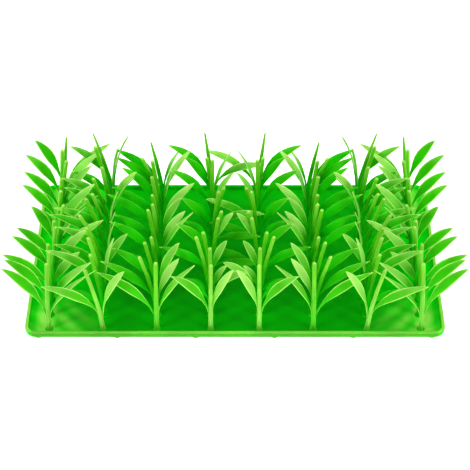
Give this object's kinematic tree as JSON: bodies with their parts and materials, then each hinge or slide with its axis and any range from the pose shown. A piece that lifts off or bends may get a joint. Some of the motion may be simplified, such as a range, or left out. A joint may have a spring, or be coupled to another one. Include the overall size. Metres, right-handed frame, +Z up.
{
  "type": "snuffle mat",
  "caption": "Low rimmed tray on small round feet with columns of soft moulded grass sprigs, each a stem with two leaf blades and an upright rod, for hiding treats.",
  "frame": {"origin": "under the tray's centre, on the surface that the feet stand on", "axes": "+X along the tray's length to the right, +Y to the back, +Z up"},
  "size_m": [0.4296, 0.206, 0.0961],
  "materials": {
    "tray_silicone": "satin moulded silicone",
    "grass_silicone": "satin moulded silicone"
  },
  "bodies": {
    "root": {"tray": "tray_silicone", "grass_strip_1": "grass_silicone", "grass_strip_2": "grass_silicone", "grass_strip_3": "grass_silicone", "grass_strip_4": "grass_silicone", "grass_strip_5": "grass_silicone", "grass_strip_6": "grass_silicone", "grass_strip_7": "grass_silicone", "grass_strip_8": "grass_silicone"}
  },
  "joints": []
}
